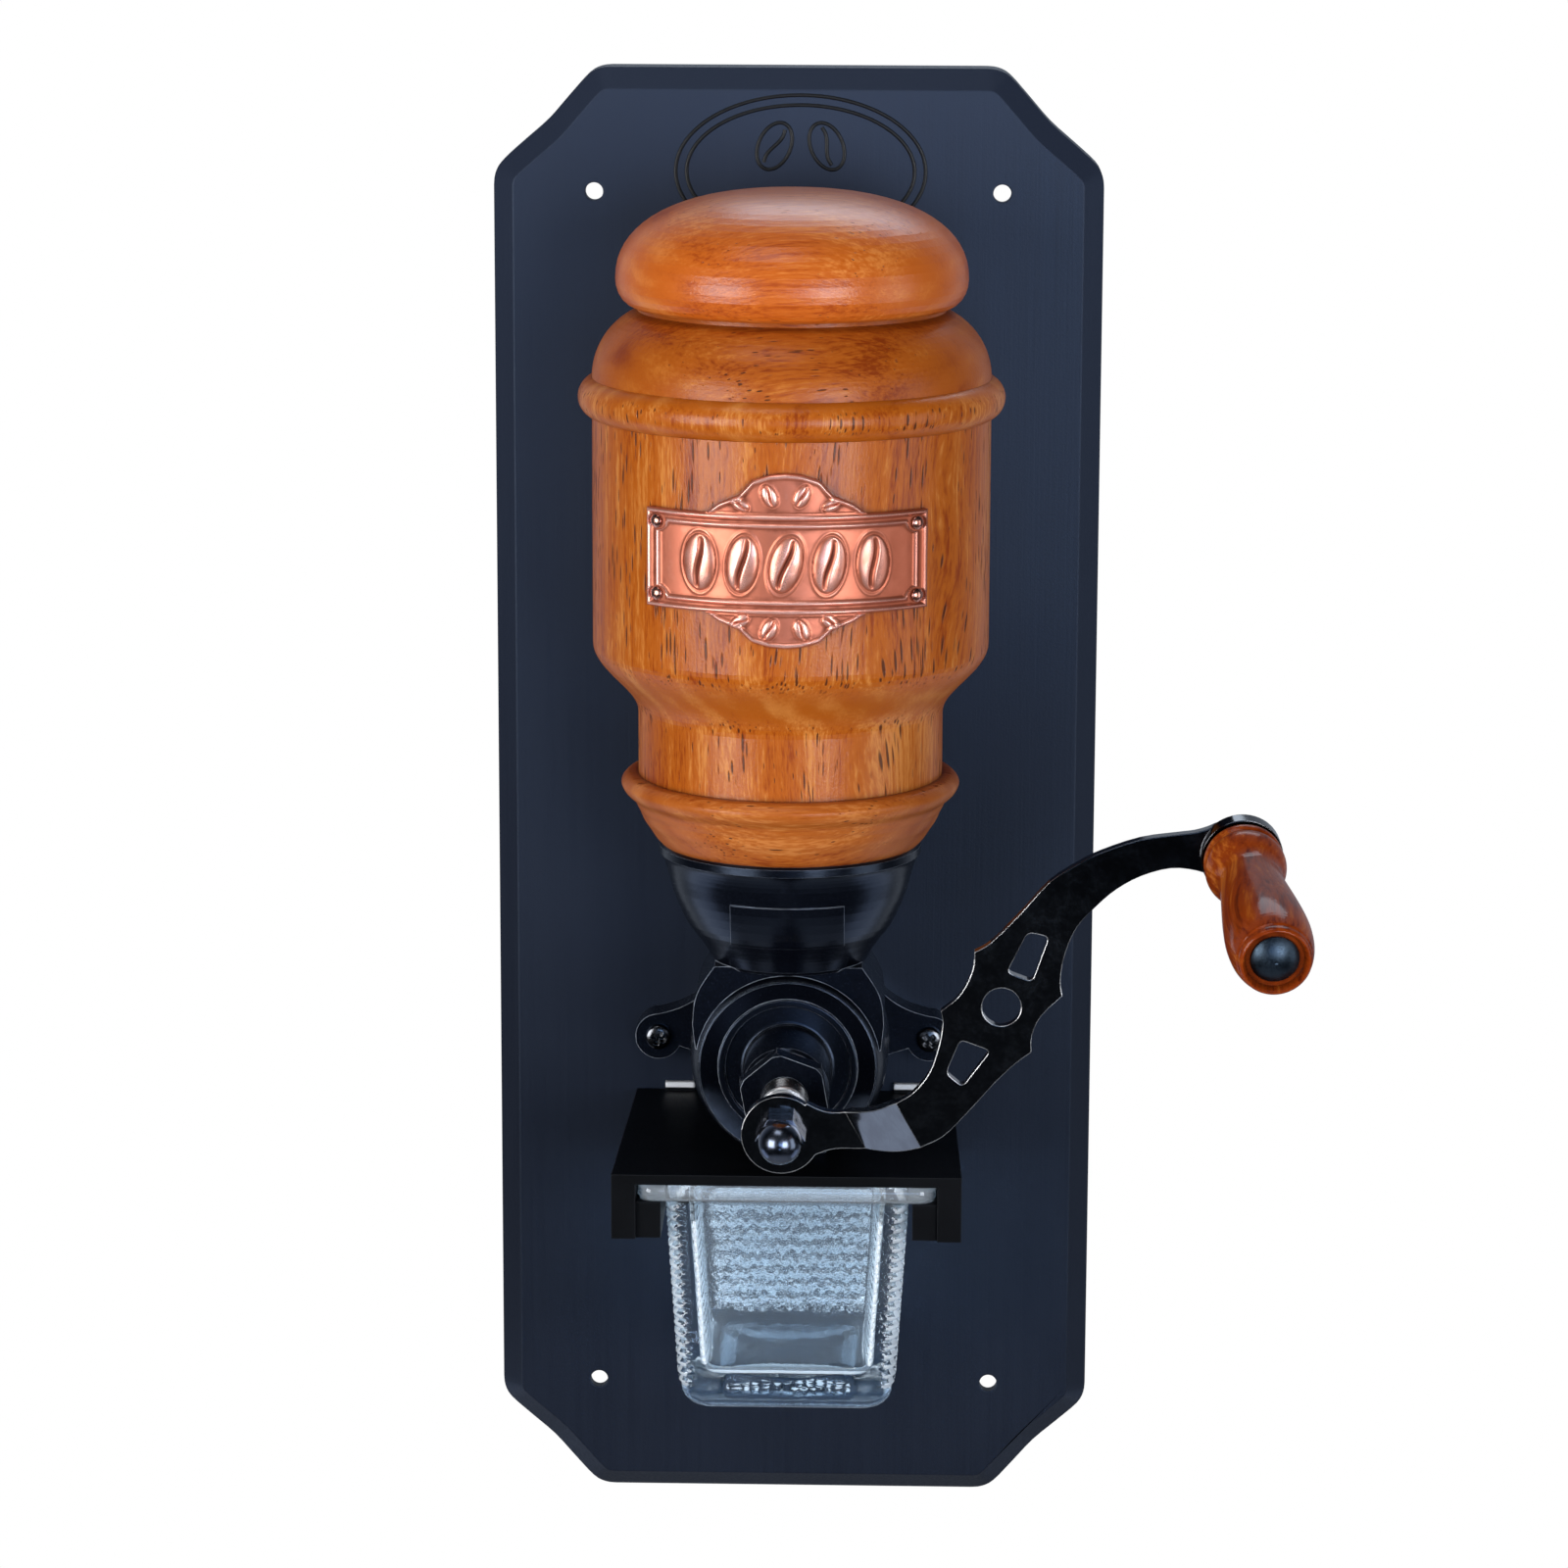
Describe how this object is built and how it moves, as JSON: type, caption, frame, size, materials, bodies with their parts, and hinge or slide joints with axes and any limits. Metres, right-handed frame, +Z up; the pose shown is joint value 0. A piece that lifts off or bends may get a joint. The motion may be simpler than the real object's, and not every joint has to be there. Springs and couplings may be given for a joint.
{
  "type": "wall mounted coffee mill",
  "caption": "Hand-cranked coffee mill on a bevelled wall board, with a turned wooden hopper and lift-off lid, a cast grinding drum and a glass catch drawer.",
  "frame": {"origin": "centre of the board's back face, which lies against the wall", "axes": "+Z up along the board, +Y into the wall, +X to the right of a person facing the mill"},
  "size_m": [0.191, 0.2096, 0.365],
  "materials": {
    "board_paint": "satin black lacquer on wood",
    "hopper_wood": "turned, clear lacquered",
    "knob_wood": "turned, high gloss lacquer",
    "black_iron": "black stove enamel",
    "black_steel": "black stove enamel, bright edges",
    "steel": "bright",
    "copper": "embossed copper sheet",
    "bronze": "bearing bronze",
    "glass": "pressed clear glass"
  },
  "bodies": {
    "frame": {"backboard": "board_paint", "mill_body": "black_iron", "body_screws": "black_steel", "rear_plate": "steel", "rear_plate_screws": "steel", "rear_bush": "bronze", "front_bush": "bronze", "outer_burr": "steel", "disc_spring": "steel", "drawer_housing": "black_steel", "rail_left": "black_steel", "rail_right": "black_steel", "housing_screws": "steel", "jar_base": "hopper_wood", "jar_screws": "steel", "jar_body": "hopper_wood", "jar_shoulder": "hopper_wood", "jar_plaque": "copper", "plaque_pins": "copper"},
    "lid": {"jar_lid": "hopper_wood"},
    "axle_seat": {"spring_seat": "steel"},
    "crank": {"drive_shaft": "steel", "inner_burr": "steel", "burr_pin": "steel", "feed_worm": "steel", "crank_arm": "black_steel", "cap_nut": "black_steel", "knob_spindle": "steel", "knob_washer": "steel"},
    "knob": {"knob_grip": "knob_wood"},
    "nut_washer": {"thrust_washer": "bronze"},
    "nut": {"adjusting_nut": "black_steel"},
    "drawer": {"glass_drawer": "glass"}
  },
  "joints": [
    {"name": "lid_lift", "type": "slide", "parent": "frame", "child": "lid", "axis": [0, 0, 1], "range_m": [0, 0.06]},
    {"name": "axle_shift", "type": "slide", "parent": "frame", "child": "axle_seat", "axis": [0, -1, 0], "range_m": [-0.0005, 0.0005]},
    {"name": "crank_turn", "type": "hinge", "parent": "axle_seat", "child": "crank", "pos_m": [0, -0.11442, -0.0507], "axis": [0, -1, 0], "continuous": true},
    {"name": "knob_spin", "type": "hinge", "parent": "crank", "child": "knob", "pos_m": [0.10309, -0.15552, 0.01839], "axis": [0.0803, -0.9763, -0.2011], "continuous": true},
    {"name": "washer_shift", "type": "slide", "parent": "crank", "child": "nut_washer", "axis": [0, -1, 0], "range_m": [-0.0005, 0.0005]},
    {"name": "nut_turn", "type": "hinge", "parent": "nut_washer", "child": "nut", "pos_m": [0, -0.11442, -0.0507], "axis": [0, -1, 0], "range_deg": [-180, 180]},
    {"name": "drawer_slide", "type": "slide", "parent": "frame", "child": "drawer", "axis": [0, 1, 0], "range_m": [-0.075, 0]}
  ],
  "couplings": [
    {"joint": "nut_turn", "follows": "axle_shift", "rad_per_m": -6283},
    {"joint": "washer_shift", "follows": "axle_shift", "ratio": -1}
  ]
}
